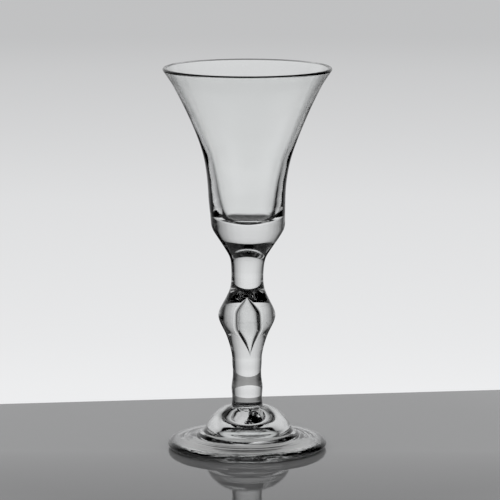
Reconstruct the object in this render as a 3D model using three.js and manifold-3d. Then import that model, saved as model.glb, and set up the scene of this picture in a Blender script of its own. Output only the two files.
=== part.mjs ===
// A baluster wine glass: a bell bowl with a solid base, a stem with a long tear of air in it,
// and a domed foot with a rough scar under its centre.
// Millimetres, +Z up, the origin on the table under the centre of the foot.
import * as THREE from "three";
import { mergeVertices } from "three/addons/utils/BufferGeometryUtils.js";
import Module from "manifold-3d";

// Heights above the table. The three seams are the welds between the gathers of glass.
const lipHeight = 165;
const wellFloor = 97.95;
const bowlSeam = 83;
const tearSeam = 56.5;
const footSeam = 18.5;
const hollowCeiling = 8.8;

// Radii, and the round lip's own radius.
const lipRadius = 35.42;
const lipBead = 0.72;
const waistRadius = 15.95;
const bowlSeamRadius = 7.55;
const neckRadius = 6.9;
const baluster = { radius: 12.42, height: 58.2 };
const tearSeamRadius = 12.16;
const stemRadius = 6.06;
const footSeamRadius = 6.65;
const domeRadius = 18.4;
const terraceRadius = 21;
const footRadius = 34.2;
const ceilingRadius = 7;
const scarRadius = 5.5;

// The tear of air: how far it reaches above and below the seam, and how far its lower tip leans aside
// and its whole stands in front of the axis.
const tear = { radius: 4.19, above: 8.5, below: 16.2, lean: 1, forward: 0.6 };

// The flat ring that the foot stands on.
const restInner = 30.8;
const restOuter = 32;

// How many sides each round piece is turned with.
const sides = { wide: 54, slim: 36 };

const clearGlass = { color: 0xdce4e6, roughness: 0.03, metalness: 0, transparent: true, opacity: 0.4 };

// A smooth outline through a few chosen points, each [radius, height].
function smooth(points, stepsBetween) {
  const curve = new THREE.SplineCurve(points.map(([r, z]) => new THREE.Vector2(r, z)));
  return curve.getPoints((points.length - 1) * stepsBetween);
}

// A round stretch of outline about a centre, from one angle to another, in degrees from outwards.
function arc([r, z], radius, from, to, steps) {
  const path = new THREE.Path();
  const [start, end] = [from, to].map(THREE.MathUtils.degToRad);
  path.absarc(r, z, radius, start, end, to < from);
  return path.getPoints(steps);
}

// Turns an outline about the glass's axis. The glass lies on the left of the outline's way.
function turned(outline, count) {
  return new THREE.LatheGeometry(outline, count).rotateX(Math.PI / 2);
}

const onAxis = (z) => new THREE.Vector2(0, z);

const wasm = await Module();
wasm.setup();

// One geometry as a solid that can be cut.
function solidOf(geometry) {
  const bare = geometry.clone().deleteAttribute("normal").deleteAttribute("uv");
  const merged = mergeVertices(bare, 1e-3);
  const vertProperties = merged.attributes.position.array;
  const triVerts = new Uint32Array(merged.index.array);
  return new wasm.Manifold(new wasm.Mesh({ numProp: 3, vertProperties, triVerts }));
}

// A cut solid as a geometry again.
function geometryOf(solid) {
  const mesh = solid.getMesh();
  const positions = new Float32Array(mesh.vertProperties);
  const geometry = new THREE.BufferGeometry();
  geometry.setAttribute("position", new THREE.BufferAttribute(positions, 3));
  geometry.setIndex(new THREE.BufferAttribute(mesh.triVerts, 1));
  geometry.computeVertexNormals();
  return geometry;
}

// The bell flares from a thick waist to a thin round lip, over a solid base.
function bowl() {
  const outside = smooth(
    [
      [bowlSeamRadius, bowlSeam],
      [9.84, 87],
      [13.34, 92.1],
      [15.64, 96.3],
      [waistRadius, 100.5],
      [16.4, 107],
      [17, 116.6],
      [18.6, 126],
      [21.4, 134.7],
      [25.3, 144.2],
      [28.6, 151.3],
      [32.2, 158.2],
      [34.15, 161.1],
      [lipRadius + 0.6, lipHeight - 1.12],
    ],
    2,
  );
  const lip = arc([lipRadius, lipHeight - lipBead], lipBead, -33.6, 146.4, 4);
  const inside = smooth(
    [
      [lipRadius - 0.6, lipHeight - 0.32],
      [32.75, 161.6],
      [30.75, 158.2],
      [27.1, 151.3],
      [23.6, 144.2],
      [19.4, 134.7],
      [15.85, 125.6],
      [13.75, 117],
      [12.25, 108],
      [11.15, 103],
      [10, 100.2],
      [7, 98.8],
      [0, wellFloor],
    ],
    2,
  );
  return turned([onAxis(bowlSeam), ...outside, ...lip, ...inside], sides.wide);
}

// The air in the stem: an upturned drop that leans a little from its upper tip.
function tearOfAir() {
  const top = tearSeam + tear.above;
  const bottom = tearSeam - tear.below;
  const outline = smooth(
    [
      [0, bottom],
      [0.2, bottom + 1.9],
      [1.42, bottom + 6],
      [2.94, tearSeam - 6.2],
      [4.1, tearSeam - 2.9],
      [tear.radius, tearSeam],
      [3.98, tearSeam + 2.1],
      [2.51, top - 3.7],
      [0.82, top - 1.2],
      [0, top],
    ],
    2,
  );
  const lean = Math.atan(tear.lean / (top - bottom));
  const drop = turned(outline, 20).translate(0, 0, -top).rotateY(-lean);
  return solidOf(drop.translate(0, -tear.forward, top));
}

// The neck and the shoulder of the baluster, with the upper part of the tear open below.
function upperStemGather() {
  const outside = smooth(
    [
      [tearSeamRadius, tearSeam],
      [baluster.radius, baluster.height],
      [11.53, 61],
      [9.59, 64.6],
      [7.56, 69],
      [neckRadius, 72.6],
      [neckRadius, 77],
      [bowlSeamRadius, bowlSeam],
    ],
    2,
  );
  const whole = turned([onAxis(tearSeam), ...outside, onAxis(bowlSeam)], sides.slim);
  return geometryOf(solidOf(whole).subtract(tearOfAir()));
}

// The baluster's taper and the plain stem, with the lower part of the tear open above.
function lowerStemGather() {
  const outside = smooth(
    [
      [footSeamRadius, footSeam],
      [6.47, 20.5],
      [6.5, 26],
      [6.17, 31.4],
      [stemRadius, 35],
      [6.38, 40],
      [7.34, 44.6],
      [9.03, 49.8],
      [11.13, 54],
      [tearSeamRadius, tearSeam],
    ],
    2,
  );
  const whole = turned([onAxis(footSeam), ...outside, onAxis(tearSeam)], sides.slim);
  return geometryOf(solidOf(whole).subtract(tearOfAir()));
}

// The foot: a hollow below with a groove round its ceiling, a flat ring to stand on, a round edge, and
// two terraces up to the dome.
function domedFoot() {
  const hollow = smooth(
    [
      [ceilingRadius, hollowCeiling],
      [ceilingRadius + 0.9, hollowCeiling + 0.8],
      [9.2, 9.7],
      [10.7, 9.1],
      [12.3, 7.7],
      [14, 5.8],
      [17, 4.2],
      [20, 3.1],
      [24, 1.65],
      [28, 0.6],
      [restInner, 0],
    ],
    2,
  );
  const edge = smooth(
    [
      [restOuter, 0],
      [33.2, 0.35],
      [34.05, 1.2],
      [footRadius, 1.9],
      [33.8, 2.9],
      [32.8, 3.7],
      [31.4, 4.1],
    ],
    1,
  );
  const plate = smooth(
    [
      [28, 4.6],
      [24, 5.2],
      [terraceRadius + 1.2, 5.8],
      [terraceRadius, 6.9],
      [domeRadius + 1, 7.5],
      [domeRadius, 8.9],
      [16.4, 12.7],
      [12.6, 16.2],
      [9, 17.9],
      [footSeamRadius, footSeam],
    ],
    2,
  );
  return turned([onAxis(hollowCeiling), ...hollow, ...edge, ...plate, onAxis(footSeam)], sides.wide);
}

// The broken disc of glass on the ceiling of the hollow: its edge and its face are chipped.
function pontilScar() {
  const outline = smooth(
    [
      [0, hollowCeiling - 0.9],
      [2.6, hollowCeiling - 1.1],
      [scarRadius - 0.9, hollowCeiling - 1],
      [scarRadius - 0.2, hollowCeiling - 0.2],
    ],
    2,
  );
  const rim = new THREE.Vector2(scarRadius - 0.4, hollowCeiling);
  const scar = turned([...outline, rim, onAxis(hollowCeiling)], sides.slim);
  const place = scar.attributes.position;
  for (let i = 0; i < place.count; i++) {
    const [x, y, z] = [place.getX(i), place.getY(i), place.getZ(i)];
    const turn = Math.atan2(y, x);
    const chip = Math.sin(5 * turn + 0.6) + 0.6 * Math.sin(9 * turn) + 0.4 * Math.sin(14 * turn + 1);
    const reach = 1 + (0.04 * chip * Math.hypot(x, y)) / scarRadius;
    const below = hollowCeiling - z;
    const ridge = Math.sin(1.9 * x + 0.7) * Math.cos(1.6 * y - 0.4) + 0.5 * Math.sin(2.6 * (x + y));
    place.setXYZ(i, x * reach, y * reach, z - 0.35 * below * ridge);
  }
  scar.computeVertexNormals();
  return scar;
}

const pieces = {
  bowl,
  upper_stem_gather: upperStemGather,
  lower_stem_gather: lowerStemGather,
  domed_foot: domedFoot,
  pontil_scar: pontilScar,
};

const glass = new THREE.Group();
for (const [name, make] of Object.entries(pieces)) {
  const mesh = new THREE.Mesh(make(), new THREE.MeshStandardMaterial(clearGlass));
  mesh.name = name;
  glass.add(mesh);
}

export default glass;
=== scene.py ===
import bmesh
import bpy
import math
from mathutils import Matrix, Vector, noise
from mathutils.geometry import interpolate_bezier


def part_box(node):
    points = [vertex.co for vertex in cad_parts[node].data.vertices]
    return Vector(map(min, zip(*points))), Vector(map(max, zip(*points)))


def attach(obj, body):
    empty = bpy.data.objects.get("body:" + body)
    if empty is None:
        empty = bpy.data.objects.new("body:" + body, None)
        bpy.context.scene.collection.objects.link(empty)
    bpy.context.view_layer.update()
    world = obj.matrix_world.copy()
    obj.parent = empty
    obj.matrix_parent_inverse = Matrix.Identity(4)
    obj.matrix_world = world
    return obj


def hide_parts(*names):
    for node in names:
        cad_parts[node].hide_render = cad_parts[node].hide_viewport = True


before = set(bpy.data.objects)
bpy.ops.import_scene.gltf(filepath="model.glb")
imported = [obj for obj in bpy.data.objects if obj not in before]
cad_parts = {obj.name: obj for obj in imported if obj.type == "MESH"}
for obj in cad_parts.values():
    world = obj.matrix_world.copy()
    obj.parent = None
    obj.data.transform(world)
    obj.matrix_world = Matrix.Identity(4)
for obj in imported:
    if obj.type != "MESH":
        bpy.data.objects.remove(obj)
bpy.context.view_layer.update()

mm = 0.001
tiny = 1e-6    # points closer than this, in metres, are the same
print("frame loaded:", sorted(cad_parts))

# Heights of the four welds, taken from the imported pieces. The last is the scar's, on the hollow's ceiling.
seam = {
    "foot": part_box("lower_stem_gather")[0].z,
    "tear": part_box("upper_stem_gather")[0].z,
    "bowl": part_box("bowl")[0].z,
    "ceiling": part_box("pontil_scar")[1].z,
}

# A piece's flat faces at a weld's height are welded where they lie within this radius.
weldReach = {"foot": 6.7 * mm, "tear": 20 * mm, "bowl": 20 * mm, "ceiling": 5.55 * mm}


# The line through a few chosen points in millimetres, each (radius, height), sampled about every "step".
def smoothLine(points, step=0.5):
    knots = [Vector((r * mm, 0, z * mm)) for r, z in points]
    ends = [knots[0] * 2 - knots[1]] + knots + [knots[-1] * 2 - knots[-2]]
    line = [knots[0]]
    for before, a, b, after in zip(ends, ends[1:], ends[2:], ends[3:]):
        count = max(3, round((b - a).length / (step * mm))) + 1
        line += interpolate_bezier(a, a + (b - before) / 6, b - (after - a) / 6, b, count)[1:]
    return line


# Takes the last kinks out of a line; its two ends stay.
def eased(line, passes):
    for i in range(passes):
        middle = [a * 0.25 + b * 0.5 + c * 0.25 for a, b, c in zip(line, line[1:], line[2:])]
        line = [line[0]] + middle + [line[-1]]
    return line


# The stretch of a line between two heights, with a thin ring beside each cut so that the shading runs on.
def cutLine(line, low, high, ring=0.03 * mm):
    if line[0].z > line[-1].z:
        return list(reversed(cutLine(list(reversed(line)), low, high, ring)))
    heights = [low, low + ring, high - ring, high]
    inner = [co for co in line if low + 3 * ring < co.z < high - 3 * ring]
    ends = []
    for z in heights:
        for a, b in zip(line, line[1:]):
            if a.z <= z <= b.z and b.z > a.z:
                ends.append(a.lerp(b, (z - a.z) / (b.z - a.z)))
                break
        else:
            ends.append(line[0] if z <= line[0].z else line[-1])
    return ends[:2] + inner + ends[2:]


# A round stretch, in degrees from outwards.
def arcLine(centre, radius, start, stop, steps):
    line = []
    for i in range(steps + 1):
        turn = math.radians(start + (stop - start) * i / steps)
        aside, up = radius * math.cos(turn), radius * math.sin(turn)
        line.append(Vector((centre[0] + aside, 0, centre[1] + up)) * mm)
    return line


def axisPoint(z):
    return Vector((0, 0, z))


# How far a value has come from one limit to the other, from 0 to 1.
def share(value, start, stop):
    return max(0.0, min(1.0, (value - start) / (stop - start)))


handMade = {
    "sides": 144,
    "seed": 1,
    "wobble": 0.10 * mm,     # how far the wall wanders from a true circle
    "wobbleSize": 24 * mm,
    "wobbleTall": 0.6,       # less than 1, as it changes more slowly with height
    "wobbleFrom": (1 * mm, 13 * mm),    # it grows between these heights, for the foot to stand flat
    # How the axis wanders, as the gathers were set a little off each other: height, sideways shift in mm.
    "sway": [(0, 0.0), (3, 0.05), (8, 0.45), (14, 0.45), (18.5, -0.05), (57, -0.15), (73, 0.05), (92, 0.5),
             (112, -0.1), (138, 0.35), (165, 0.1)],
}
noise.seed_set(handMade["seed"])    # without it noise_vector takes its seed from the clock


def swayAt(z):
    sway = handMade["sway"]
    for (low, before), (high, after) in zip(sway, sway[1:]):
        if z <= high * mm:
            t = share(z, low * mm, high * mm)
            t = t * t * (3 - 2 * t)
            return (before + (after - before) * t) * mm
    return sway[-1][1] * mm


# Every point of the glass moves by the same rule, so pieces that meet still meet.
def handShaped(co):
    drift = noise.noise_vector(Vector((co.x, co.y, co.z * handMade["wobbleTall"])) / handMade["wobbleSize"])
    wobble = handMade["wobble"] * share(co.z, *handMade["wobbleFrom"])
    return Vector((co.x + swayAt(co.z) + drift.x * wobble, co.y + drift.y * wobble, co.z))


# Turns an outline about the axis into a closed shell with its faces outwards.
def turnOutline(bm, line, sides):
    verts = [bm.verts.new(co) for co in line]
    edges = [bm.edges.new(pair) for pair in zip(verts, verts[1:])]
    bmesh.ops.spin(bm, geom=verts + edges, cent=(0, 0, 0), axis=(0, 0, 1), angle=math.tau,
                   steps=sides, use_merge=True, use_duplicate=False)
    bmesh.ops.remove_doubles(bm, verts=bm.verts, dist=tiny)
    bmesh.ops.recalc_face_normals(bm, faces=bm.faces)


# Makes the mesh a piece of the glass: its weld faces get the second material and lie flat.
def finishPiece(bm, name, materials, replaced, welds):
    for f in bm.faces:
        f.smooth = True
        for weld in welds:
            z, reach = seam[weld], weldReach[weld]
            if all(abs(v.co.z - z) < tiny and v.co.xy.length < reach for v in f.verts):
                f.material_index = 1
                f.smooth = False
    for v in bm.verts:
        v.co = handShaped(v.co)
    mesh = bpy.data.meshes.new(name)
    bm.to_mesh(mesh)
    bm.free()
    piece = bpy.data.objects.new(name, mesh)
    bpy.context.scene.collection.objects.link(piece)
    for m in materials:
        mesh.materials.append(m)
    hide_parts(*replaced)
    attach(piece, "root")
    print("made", name, len(mesh.polygons), "faces")
    return piece


def newMaterial(name):
    material = bpy.data.materials.new(name)
    material.use_nodes = True
    material.node_tree.nodes.clear()
    return material, material.node_tree.nodes, material.node_tree.links


glassLook = {
    "ior": 1.54,
    "tint": (0.985, 0.990, 0.988),
    "cloudy": (0.955, 0.965, 0.960),    # where the melt is a little greyer
    "cloudScale": 45,
    # How much light comes through as the wall turns away from the eye: painted shade that darkens the
    # glass's colour towards its outlines.
    "edge": [(0.0, 1.0), (0.55, 1.0), (0.80, 0.45), (0.93, 0.06), (1.0, 0.0)],
    "waveScale": 110,
    "ringDrift": 60,         # how fast the rings change across the glass
    "haze": 0.006,           # roughness of the fire-polished skin
    "hazeScale": 260,
    "scuff": 0.42,           # roughness of the ring that it stands on
    "scuffScale": 1400,
    "gritScale": 900,        # the broken glass of the scar: its grit, tints and roughness
    "gritTints": [(0.93, 0.94, 0.94), (0.985, 0.985, 0.985)],
    "gritRough": [(0.35, 0.0), (0.7, 0.02)],
}


def mathNode(nodes, links, operation, *values, clamp=False):
    node = nodes.new("ShaderNodeMath")
    node.operation = operation
    node.use_clamp = clamp
    for socket, value in zip(node.inputs, values):
        if isinstance(value, (int, float)):
            socket.default_value = value
        else:
            links.new(value, socket)
    return node.outputs["Value"]


# A ramp over a value between low and high: each stop is (value, brightness).
def rampNode(nodes, links, value, stops, low=0, high=1, tint=(1, 1, 1), smooth="LINEAR"):
    node = nodes.new("ShaderNodeValToRGB")
    node.color_ramp.interpolation = smooth
    while len(node.color_ramp.elements) < len(stops):
        node.color_ramp.elements.new(1)
    for element, (at, bright) in zip(node.color_ramp.elements, stops):
        element.position = (at - low) / (high - low)
        element.color = (*[c * bright for c in tint], 1)
    part = nodes.new("ShaderNodeMapRange")
    part.inputs["From Min"].default_value = low
    part.inputs["From Max"].default_value = high
    links.new(value, part.inputs["Value"])
    links.new(part.outputs["Result"], node.inputs["Fac"])
    return node.outputs["Color"]


def mixColour(nodes, links, blend, amount, a, b):
    node = nodes.new("ShaderNodeMix")
    node.data_type = "RGBA"
    node.blend_type = blend
    for socket, value in zip(("Factor", "A", "B"), (amount, a, b)):
        if isinstance(value, (int, float, tuple)):
            node.inputs[socket].default_value = value
        else:
            links.new(value, node.inputs[socket])
    return node.outputs["Result"]


def noiseNode(nodes, links, vector, scale, detail, rough=0.5):
    node = nodes.new("ShaderNodeTexNoise")
    node.inputs["Scale"].default_value = scale
    node.inputs["Detail"].default_value = detail
    node.inputs["Roughness"].default_value = rough
    links.new(vector, node.inputs["Vector"])
    return node.outputs["Fac"]


# How far a point lies from the glass's axis.
def radiusNode(nodes, links, place):
    flat = nodes.new("ShaderNodeVectorMath")
    flat.operation = "MULTIPLY"
    flat.inputs[1].default_value = (1, 1, 0)
    links.new(place, flat.inputs[0])
    radius = nodes.new("ShaderNodeVectorMath")
    radius.operation = "LENGTH"
    links.new(flat.outputs["Vector"], radius.inputs[0])
    return radius.outputs["Value"]


# The ranges of turns and of height angles' sines.
allTurns = (-180, 180)
allHeights = (-1, 1)


# Degrees round the axis from straight behind the glass, clockwise from above.
def turnNode(nodes, links, split):
    turn = mathNode(nodes, links, "ARCTAN2", split.outputs["X"], split.outputs["Y"])
    return mathNode(nodes, links, "MULTIPLY", turn, 180 / math.pi)


def glassShader(name):
    material, nodes, links = newMaterial(name)
    out = nodes.new("ShaderNodeOutputMaterial")
    shader = nodes.new("ShaderNodeBsdfPrincipled")
    shader.inputs["Transmission Weight"].default_value = 1
    shader.inputs["IOR"].default_value = glassLook["ior"]
    links.new(shader.outputs["BSDF"], out.inputs["Surface"])
    coords = nodes.new("ShaderNodeTexCoord")
    return material, nodes, links, shader, coords.outputs["Object"]


# Clear lead glass. "lines" is how deep in mm the fine rings from the turning are, "wave" the same for the
# slow unevenness of a hand-made wall, "worn" the height below which the foot is scuffed, and "calm" the two
# radii between which the rings begin.
def clearGlass(name, lines, linesPerMetre, wave, worn=None, calm=None):
    material, nodes, links, shader, place = glassShader(name)

    # The colour drifts a little through the melt, and painted shade darkens it where the wall turns away.
    drift = noiseNode(nodes, links, place, glassLook["cloudScale"], detail=3)
    tone = mixColour(nodes, links, "MIX", drift, (*glassLook["tint"], 1), (*glassLook["cloudy"], 1))
    edge = nodes.new("ShaderNodeLayerWeight")
    edge.inputs["Blend"].default_value = 0.5
    paintedEdgeShade = rampNode(nodes, links, edge.outputs["Facing"], glassLook["edge"], smooth="EASE")
    links.new(mixColour(nodes, links, "MULTIPLY", 1.0, tone, paintedEdgeShade), shader.inputs["Base Color"])

    # Rings that run round the axis, slightly uneven, from the tools that shaped the hot glass.
    split = nodes.new("ShaderNodeSeparateXYZ")
    links.new(place, split.inputs["Vector"])
    radius = radiusNode(nodes, links, place)
    ring = nodes.new("ShaderNodeCombineXYZ")
    values = (radius, split.outputs["Z"], split.outputs["X"])
    scales = (linesPerMetre, linesPerMetre, glassLook["ringDrift"])
    for socket, value, scale in zip(ring.inputs, values, scales):
        links.new(mathNode(nodes, links, "MULTIPLY", value, scale), socket)
    rings = noiseNode(nodes, links, ring.outputs["Vector"], 1, detail=2)
    rings = mathNode(nodes, links, "MULTIPLY", rings, lines)
    slow = noiseNode(nodes, links, place, glassLook["waveScale"], detail=1)
    slow = mathNode(nodes, links, "MULTIPLY", slow, wave)
    uneven = mathNode(nodes, links, "ADD", rings, slow)
    if calm:
        start, full = calm
        beyond = rampNode(nodes, links, radius, [(start, 0), (full, 1)], 0, 40 * mm)
        uneven = mathNode(nodes, links, "MULTIPLY", uneven, beyond)
    bump = nodes.new("ShaderNodeBump")
    bump.inputs["Distance"].default_value = 1 * mm
    links.new(uneven, bump.inputs["Height"])
    links.new(bump.outputs["Normal"], shader.inputs["Normal"])

    # Fire-polished almost everywhere; fine scuffs on the ring that it stands on.
    haze = noiseNode(nodes, links, place, glassLook["hazeScale"], detail=4)
    haze = mathNode(nodes, links, "MULTIPLY", haze, glassLook["haze"])
    if worn:
        scuff = noiseNode(nodes, links, place, glassLook["scuffScale"], detail=6, rough=0.7)
        low = rampNode(nodes, links, split.outputs["Z"], [(0, glassLook["scuff"]), (worn, 0)], 0, 2 * worn)
        haze = mathNode(nodes, links, "ADD", haze, mathNode(nodes, links, "MULTIPLY", scuff, low))
    links.new(haze, shader.inputs["Roughness"])
    return material


# The broken face of the scar: the same glass, a little gritty and without any polish.
def brokenGlass(name):
    material, nodes, links, shader, place = glassShader(name)
    grit = noiseNode(nodes, links, place, glassLook["gritScale"], detail=4, rough=0.6)
    dull, clear = [(*tint, 1) for tint in glassLook["gritTints"]]
    links.new(mixColour(nodes, links, "MIX", grit, dull, clear), shader.inputs["Base Color"])
    links.new(rampNode(nodes, links, grit, glassLook["gritRough"]), shader.inputs["Roughness"])
    return material


# Inside a weld the glass runs on, so the faces of a seam can't be seen.
def weldFace(name):
    material, nodes, links = newMaterial(name)
    out = nodes.new("ShaderNodeOutputMaterial")
    through = nodes.new("ShaderNodeBsdfTransparent")
    links.new(through.outputs["BSDF"], out.inputs["Surface"])
    return material


fused = weldFace("fused seam")
bowlGlass = clearGlass("bowl glass", lines=0.006, linesPerMetre=500, wave=0.02)
stemGlass = clearGlass("stem glass", lines=0.004, linesPerMetre=900, wave=0.006)
footGlass = clearGlass("foot glass", lines=0.05, linesPerMetre=1100, wave=0.04, worn=0.5 * mm,
                       calm=(17 * mm, 22 * mm))
scarGlass = brokenGlass("broken glass")
print("materials ready")

# The outer outline from the foot's weld to the lip, which the bowl and both gathers of the stem share.
outline = {
    "outside": [(6.65, 18.5), (6.68, 19.6), (6.32, 21), (6.39, 23), (6.62, 25), (6.74, 27), (6.39, 29),
                (6.08, 31.4), (6.05, 34), (6.38, 37), (6.38, 40), (7.34, 44.6), (9.03, 49.8), (11.13, 54),
                (12.16, 56.5), (12.42, 58.2), (11.53, 61), (9.59, 64.6), (7.56, 69), (6.9, 72.6), (6.9, 77),
                (7.47, 82.6), (9.9, 87), (13.3, 92.1), (15.72, 96.3), (15.99, 100.5), (16.4, 107),
                (17, 116.6), (18.6, 126), (21.4, 134.7), (25.3, 144.2), (28.6, 151.3), (32.2, 158.2),
                (34.15, 161.1), (36.02, 163.88)],
    # A half-round end, as thick as the wall below it: middle, radius, from and to in degrees, steps.
    "lip": ((35.42, 164.28), 0.72, -33.6, 146.4, 14),
    "inside": [(34.82, 164.68), (32.75, 161.6), (30.75, 158.2), (27.1, 151.3), (23.6, 144.2), (19.4, 134.7),
               (15.85, 125.6), (13.75, 117), (12.9, 112), (12.25, 108), (11.7, 105), (11.15, 103),
               (10.75, 101.4), (10.0, 100.2), (7, 98.8), (4, 98.0), (0, 97.95)],
    "eased": 12,
    "insideAbove": 97 * mm,             # the base below it is solid
    "floorUp": 0.7,                     # how far a face looks up on the drinking space's floor
    "aside": (0.26 * mm, -0.6 * mm),    # how far the drinking space's bottom lies off the axis
    "asideTo": (140 * mm, 100 * mm),    # it goes aside between these heights, downwards
}
outerLine = eased(smoothLine(outline["outside"]), outline["eased"])


def makeBowl():
    bm = bmesh.new()
    line = [axisPoint(seam["bowl"])]
    line += cutLine(outerLine, seam["bowl"], outerLine[-1].z)
    line += arcLine(*outline["lip"])
    line += eased(smoothLine(outline["inside"]), outline["eased"])
    turnOutline(bm, line, handMade["sides"])
    bm.normal_update()
    asideX, asideY = outline["aside"]
    for v in bm.verts:
        inward = v.normal.x * v.co.x + v.normal.y * v.co.y < 0
        upward = v.normal.z > outline["floorUp"]
        if (inward or upward) and v.co.z > outline["insideAbove"]:
            part = share(v.co.z, *outline["asideTo"])
            v.co.x += asideX * part
            v.co.y += asideY * part
    finishPiece(bm, "bell_bowl", [bowlGlass, fused], ["bowl"], ["bowl"])


tearShape = {
    "outline": [(0, 40.3), (0.2, 42.2), (1.42, 46.3), (2.94, 50.3), (4.1, 53.6), (4.19, 56.5), (3.98, 58.6),
                (2.51, 61.3), (0.82, 63.8), (0, 65)],
    "step": 0.3,
    "eased": 6,
    "within": 4.5 * mm,      # the stem's own outside lies further from the axis
    "lean": 1.0 * mm,
    "forward": -0.6 * mm,    # it sits a little to the front of the axis
}
tearAir = eased(smoothLine(tearShape["outline"], tearShape["step"]), tearShape["eased"])


# The tear leans, so its points slide aside the further they are below its upper tip.
def leanTear(bm):
    bottom, top = tearAir[0].z, tearAir[-1].z
    for v in bm.verts:
        if v.co.xy.length < tearShape["within"] and bottom - tiny <= v.co.z <= top + tiny:
            v.co.x += tearShape["lean"] * (top - v.co.z) / (top - bottom)
            v.co.y += tearShape["forward"]


# The stem's two gathers, each with half of the tear. The upper one is made when "above" is true.
def makeStem(above):
    bm = bmesh.new()
    if above:
        line = list(reversed(cutLine(tearAir, seam["tear"], tearAir[-1].z)))
        line += cutLine(outerLine, seam["tear"], seam["bowl"]) + [axisPoint(seam["bowl"])]
    else:
        line = [axisPoint(seam["foot"])] + cutLine(outerLine, seam["foot"], seam["tear"])
        line += list(reversed(cutLine(tearAir, tearAir[0].z, seam["tear"])))
    turnOutline(bm, line, handMade["sides"])
    leanTear(bm)
    glass = [stemGlass, fused]
    if above:
        finishPiece(bm, "stem_upper", glass, ["upper_stem_gather"], ["tear", "bowl"])
    else:
        finishPiece(bm, "stem_lower", glass, ["lower_stem_gather"], ["tear", "foot"])


footShape = {
    "hollow": [(7, 8.8), (7.9, 9.6), (9.2, 9.7), (10.7, 9.1), (12.3, 7.7), (14, 5.8), (17, 4.2), (20, 3.1),
               (24, 1.65), (28, 0.6), (31.2, 0)],
    "edge": [(31.8, 0), (33.2, 0.35), (34.05, 1.2), (34.2, 1.9), (33.8, 2.9), (32.8, 3.7), (31.4, 4.1)],
    "plate": [(28, 4.6), (24, 5.2), (22.2, 5.8), (21, 6.9), (19.4, 7.5), (18.4, 8.9), (16.4, 12.7),
              (12.6, 16.2), (9, 17.9), (6.65, 18.5)],
    "plateStep": 0.25,
    # The fine rings left in its skin by the turning, above and below: depth, distance, seed.
    "ringsAbove": (0.14 * mm, 1.0 * mm, 4),
    "ringsBelow": (0.098 * mm, 1.4 * mm, 8),
    "ringDrift": 30,                    # how fast they change across the foot
    "outFrom": (17 * mm, 22 * mm),      # they grow outside the dome, and are gone again at the foot's edge
    "outTo": (33 * mm, 30 * mm),
    "flatBelow": 0.5 * mm,              # the ring that it stands on stays flat
    "level": 0.1,                       # faces that look up or down less than this have no rings
}


# Fine uneven rings over the plate.
def rippleAt(co, depth, apart, seed):
    r = co.xy.length
    depth *= share(r, *footShape["outFrom"]) * share(r, *footShape["outTo"])
    across = co.xy * footShape["ringDrift"]
    return depth * noise.noise(Vector((r / apart, across.x, across.y + seed)))


def makeFoot():
    bm = bmesh.new()
    hollow = smoothLine(footShape["hollow"])
    edge = smoothLine(footShape["edge"])
    plate = smoothLine(footShape["plate"], footShape["plateStep"])
    line = [axisPoint(seam["ceiling"]), Vector((scarShape["radius"], 0, seam["ceiling"]))]
    turnOutline(bm, line + hollow + edge + plate + [axisPoint(seam["foot"])], handMade["sides"])
    bm.normal_update()
    shifts = []
    for v in bm.verts:
        if v.normal.z > footShape["level"]:
            shifts.append((v, rippleAt(v.co, *footShape["ringsAbove"])))
        elif v.normal.z < -footShape["level"] and v.co.z > footShape["flatBelow"]:
            shifts.append((v, rippleAt(v.co, *footShape["ringsBelow"])))
    for v, shift in shifts:
        v.co.z += shift
    finishPiece(bm, "foot_dome", [footGlass, fused], ["domed_foot"], ["foot", "ceiling"])


scarShape = {
    "radius": 5.5 * mm,
    "depth": 1.0 * mm,       # how far the broken glass stands out of the ceiling
    "bevel": 0.8,            # the share of its radius where its face begins to slope up to the ceiling
    # Its broad face, and the deep chip at its front right: slope, degrees that it dips towards, middle,
    # extra height.
    "face": (0.15, -45, 0.0, 0.0, 0.0),
    "chip": (0.42, -55, 2.2 * mm, -1.8 * mm, 0.6 * mm),
    "chipLeft": -0.3 * mm,   # where the chip ends on the left and at the back
    "chipLean": 0.26,
    "chipBack": 1.9 * mm,
    "jag": 1.6 * mm,         # how far its edge strays
    "jagSize": 0.91 * mm,
    "grain": 0.04 * mm,
    "seeds": [(0, 0, 3), (7.1, 3.3, 3), (0, 0, 8)],    # for the two ways that the edge strays, and the grain
    "rings": 22,
}


# How far the fracture stands out beyond its depth, with a jagged step round the chip.
def fractureAt(x, y):
    spot = Vector((x, y, 0)) / scarShape["jagSize"]
    strayX, strayY, grain = [noise.noise(spot + Vector(seed)) for seed in scarShape["seeds"]]
    right = x + scarShape["jag"] * strayX > scarShape["chipLeft"] + scarShape["chipLean"] * y
    front = y + scarShape["jag"] * strayY < scarShape["chipBack"]
    slope, turn, middleX, middleY, height = scarShape["chip" if right and front else "face"]
    turn = math.radians(turn)
    dip = slope * ((x - middleX) * math.cos(turn) + (y - middleY) * math.sin(turn))
    return dip + height + scarShape["grain"] * grain


def makeScar():
    bm = bmesh.new()
    radius, depth, rings = scarShape["radius"], scarShape["depth"], scarShape["rings"]
    top = seam["ceiling"]
    line = [axisPoint(top - depth)]
    line += [Vector((radius * i / rings, 0, top - depth)) for i in range(1, rings)]
    line += [Vector((radius, 0, top)), axisPoint(top)]
    turnOutline(bm, line, handMade["sides"])
    for v in bm.verts:
        if v.co.z < top - tiny:
            part = share(v.co.xy.length, radius, radius * scarShape["bevel"])
            v.co.z = top - part * (depth + fractureAt(v.co.x, v.co.y))
    scar = finishPiece(bm, "pontil_mark", [scarGlass, fused], ["pontil_scar"], ["ceiling"])
    for f in scar.data.polygons:
        f.use_smooth = False


makeBowl()
makeStem(True)
makeStem(False)
makeFoot()
makeScar()

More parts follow.
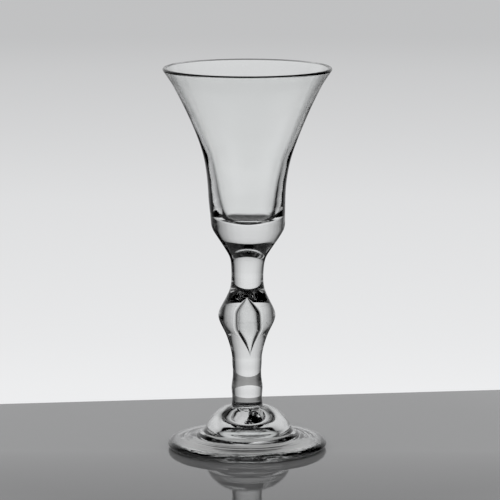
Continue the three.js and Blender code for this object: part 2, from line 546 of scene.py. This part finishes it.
studio = {
    "distance": 1.355,       # of the photo's camera from the glass's axis, level
    "height": 0.3095,
    "pitch": 9.355,
    "lens": 230.4,
    "aside": 1.2 * mm,
    "sensor": 36,
    "clipEnd": 50,
    # The backdrop that the camera sees: sine of the height angle, brightness.
    "backdrop": [(-0.50, 0.46), (-0.36, 0.56), (-0.27, 0.86), (-0.205, 0.86), (-0.19, 0.82),
                 (-0.147, 0.745), (-0.107, 0.60), (-0.097, 0.545), (0.0, 0.50)],
    # The same backdrop as it lights the glass, up to its upper edge, with a faint glow high above it.
    "panel": [(-1, 0.0), (-0.68, 0.0), (-0.61, 0.80), (-0.20, 0.80), (-0.10, 0.74), (0.45, 0.66),
              (0.60, 0.60), (0.64, 0.0), (0.84, 0.0), (0.87, 0.10), (0.92, 0.10), (0.95, 0.0)],
    # How bright the panel is around the glass: degrees from straight behind it, clockwise from above.
    "around": [(-180, 0), (-68, 0), (-62, 0.05), (-54, 0.26), (-46, 0.46), (-38, 0.64), (-30, 0.8),
               (-20, 0.94), (-10, 1), (4, 1), (13, 0.94), (22, 0.8), (31, 0.6), (38, 0.43), (44, 0.2),
               (48, 0), (180, 0)],
    # Two softer panels further round, and the heights that they cover through the glass and as mirrored.
    "sides": [(-180, 0.1), (-150, 0.15), (-125, 0.4), (-108, 0.6), (-78, 0.6), (-68, 0.2), (-60, 0),
              (100, 0), (118, 0.4), (135, 0.6), (155, 0.3), (180, 0.1)],
    "sideHeights": [(-0.20, 0.0), (-0.08, 1.0)],
    "mirrorHeights": [(-0.02, 0.0), (0.0, 1.0), (0.12, 1.0), (0.15, 0.0), (0.175, 0.0), (0.20, 1.0),
                      (0.36, 1.0), (0.42, 0.0)],
    # The heights at which all of this is mirrored; lower down, the studio is dark in the glass's surface.
    "mirrorReach": [(-0.26, 0.0), (-0.10, 1), (0.50, 1), (0.56, 0.1)],
    "tint": (0.985, 0.99, 1.0),
}


def makeCamera():
    data = bpy.data.cameras.new("photo camera")
    data.lens = studio["lens"]
    data.sensor_width = studio["sensor"]
    data.clip_end = studio["clipEnd"]
    camera = bpy.data.objects.new("photo camera", data)
    camera.location = (studio["aside"], -studio["distance"], studio["height"])
    camera.rotation_euler = (math.radians(90 - studio["pitch"]), 0, 0)
    bpy.context.scene.collection.objects.link(camera)
    bpy.context.scene.camera = camera


table = {
    "back": 0.103,           # its far edge behind the glass's axis
    "turn": 7.8,             # degrees that the edge is off square
    "wide": 1.6,
    "deep": 1.6,
    "thick": 0.03,
    # Light and shade painted into its colour, by the distance behind the glass's axis: darkest a little in
    # front of the glass, brightest behind it; further from the glass it is painted evenly lit.
    "paintedLight": [(-0.40, 0.40), (-0.12, 0.28), (-0.02, 0.72), (0.07, 2.1), (0.12, 2.6)],
    "paler": [(0.11, 0), (0.26, 1)],
    "even": (1.5, 1.2),      # how brightly, and as seen through the glass
    # How grazing the view is: the colour under the gloss, and the painted glow that shows through the glass.
    "colour": [(0.50, 0.62), (0.72, 0.50), (0.80, 0.36), (1.0, 0.28)],
    "through": [(0.45, 0.0), (0.54, 0.05), (0.62, 0.40), (0.80, 0.42), (1.0, 0.50)],
    # The painted shadow under the foot's rim, by the distance from the axis.
    "paintedShade": [(0, 1), (0.027, 1), (0.030, 0.0), (0.038, 0.0), (0.044, 1), (0.06, 1)],
    # Within "far" from the axis the glow through the glass is darkened by a painted reflection of the
    # studio's dark sides: degrees from straight behind.
    "far": [(0.042, 0), (0.050, 1), (0.30, 1), (0.45, 0)],
    "aside": [(-140, 1), (-122, 0.3), (-100, 0.08), (-58, 0.08), (-38, 0.2), (-24, 0.62), (0, 0.85),
              (24, 0.62), (38, 0.2), (58, 0.08), (100, 0.08), (122, 0.3), (140, 1)],
    "roughness": 0.04,
    "ior": 1.44,
}


def paleTable(name):
    material, nodes, links = newMaterial(name)
    out = nodes.new("ShaderNodeOutputMaterial")
    shader = nodes.new("ShaderNodeBsdfPrincipled")
    coords = nodes.new("ShaderNodeTexCoord")
    split = nodes.new("ShaderNodeSeparateXYZ")
    links.new(coords.outputs["Object"], split.inputs["Vector"])
    view = nodes.new("ShaderNodeLayerWeight")
    view.inputs["Blend"].default_value = 0.5
    # Light painted into the colour, darker towards the front and evenly lit further from the glass.
    paintedLight = rampNode(nodes, links, split.outputs["Y"], table["paintedLight"], -0.4, 0.12, smooth="B_SPLINE")
    colour = rampNode(nodes, links, view.outputs["Facing"], table["colour"], smooth="EASE")
    radius = radiusNode(nodes, links, coords.outputs["Object"])
    paler = rampNode(nodes, links, radius, table["paler"], 0, 0.4, smooth="EASE")
    direct, paintedLight = [mixColour(nodes, links, "MIX", paler, paintedLight, (e, e, e, 1)) for e in table["even"]]
    links.new(mixColour(nodes, links, "MULTIPLY", 1.0, colour, direct), shader.inputs["Base Color"])
    shader.inputs["Roughness"].default_value = table["roughness"]
    shader.inputs["IOR"].default_value = table["ior"]

    # Through the glass the table is a glow, not lit: painted light that shows its pale gloss at a grazing
    # view and is dark when seen steeply, with painted shadow and painted reflection.
    through = nodes.new("ShaderNodeEmission")
    paintedGlow = rampNode(nodes, links, view.outputs["Facing"], table["through"])
    # Painted shadow under the foot's rim.
    paintedShade = rampNode(nodes, links, radius, table["paintedShade"], 0, 0.06)
    # A painted reflection of the studio's dark sides, darkening the glow by degrees round the axis.
    aside = rampNode(nodes, links, turnNode(nodes, links, split), table["aside"], *allTurns)
    far = rampNode(nodes, links, radius, table["far"], 0, 0.5)
    paintedShade = mixColour(nodes, links, "MULTIPLY", far, paintedShade, aside)
    paintedGlow = mixColour(nodes, links, "MULTIPLY", 1.0, paintedGlow, paintedShade)
    links.new(mixColour(nodes, links, "MULTIPLY", 1.0, paintedGlow, paintedLight), through.inputs["Color"])
    path = nodes.new("ShaderNodeLightPath")
    mix = nodes.new("ShaderNodeMixShader")
    links.new(path.outputs["Is Transmission Ray"], mix.inputs["Fac"])
    links.new(shader.outputs["BSDF"], mix.inputs[1])
    links.new(through.outputs["Emission"], mix.inputs[2])
    links.new(mix.outputs["Shader"], out.inputs["Surface"])
    return material


def makeTable():
    bm = bmesh.new()
    bmesh.ops.create_cube(bm, size=1)
    bmesh.ops.scale(bm, vec=(table["wide"], table["deep"], table["thick"]), verts=bm.verts)
    bmesh.ops.translate(bm, vec=(0, -table["deep"] / 2, -table["thick"] / 2), verts=bm.verts)
    turn = Matrix.Rotation(math.radians(table["turn"]), 3, "Z")
    bmesh.ops.rotate(bm, cent=(0, 0, 0), matrix=turn, verts=bm.verts)
    bmesh.ops.translate(bm, vec=(0, table["back"], 0), verts=bm.verts)
    mesh = bpy.data.meshes.new("table")
    bm.to_mesh(mesh)
    bm.free()
    slab = bpy.data.objects.new("table", mesh)
    bpy.context.scene.collection.objects.link(slab)
    mesh.materials.append(paleTable("pale table"))


# The camera and the table see the backdrop; the glass shows and mirrors the panels round it.
def makeWorld():
    world = bpy.data.worlds.new("studio")
    bpy.context.scene.world = world
    world.use_nodes = True
    nodes, links = world.node_tree.nodes, world.node_tree.links
    nodes.clear()
    out = nodes.new("ShaderNodeOutputWorld")
    back = nodes.new("ShaderNodeBackground")
    links.new(back.outputs["Background"], out.inputs["Surface"])
    coords = nodes.new("ShaderNodeTexCoord")
    split = nodes.new("ShaderNodeSeparateXYZ")
    links.new(coords.outputs["Generated"], split.inputs["Vector"])
    height = split.outputs["Z"]
    turn = turnNode(nodes, links, split)
    path = nodes.new("ShaderNodeLightPath")
    refracted = path.outputs["Is Transmission Ray"]

    seen = rampNode(nodes, links, height, studio["backdrop"], -0.6, 0.0, studio["tint"])
    panel = rampNode(nodes, links, height, studio["panel"], *allHeights, studio["tint"])
    around = rampNode(nodes, links, turn, studio["around"], *allTurns, smooth="EASE")
    sides = rampNode(nodes, links, turn, studio["sides"], *allTurns, smooth="EASE")
    through = rampNode(nodes, links, height, studio["sideHeights"], *allHeights)
    mirrored = rampNode(nodes, links, height, studio["mirrorHeights"], *allHeights)
    reach = mixColour(nodes, links, "MIX", refracted, mirrored, through)
    sides = mixColour(nodes, links, "MULTIPLY", 1.0, sides, reach)
    around = mixColour(nodes, links, "ADD", 1.0, around, sides)
    lit = mixColour(nodes, links, "MULTIPLY", 1.0, panel, around)

    reach = rampNode(nodes, links, height, studio["mirrorReach"], *allHeights)
    reach = mixColour(nodes, links, "MIX", refracted, reach, (1, 1, 1, 1))
    lit = mixColour(nodes, links, "MULTIPLY", 1.0, lit, reach)
    camera, diffuse = path.outputs["Is Camera Ray"], path.outputs["Is Diffuse Ray"]
    direct = mathNode(nodes, links, "ADD", camera, diffuse, clamp=True)
    links.new(mixColour(nodes, links, "MIX", direct, lit, seen), back.inputs["Color"])


makeCamera()
makeTable()
makeWorld()
bpy.context.scene.view_settings.view_transform = "Standard"
print("studio ready")
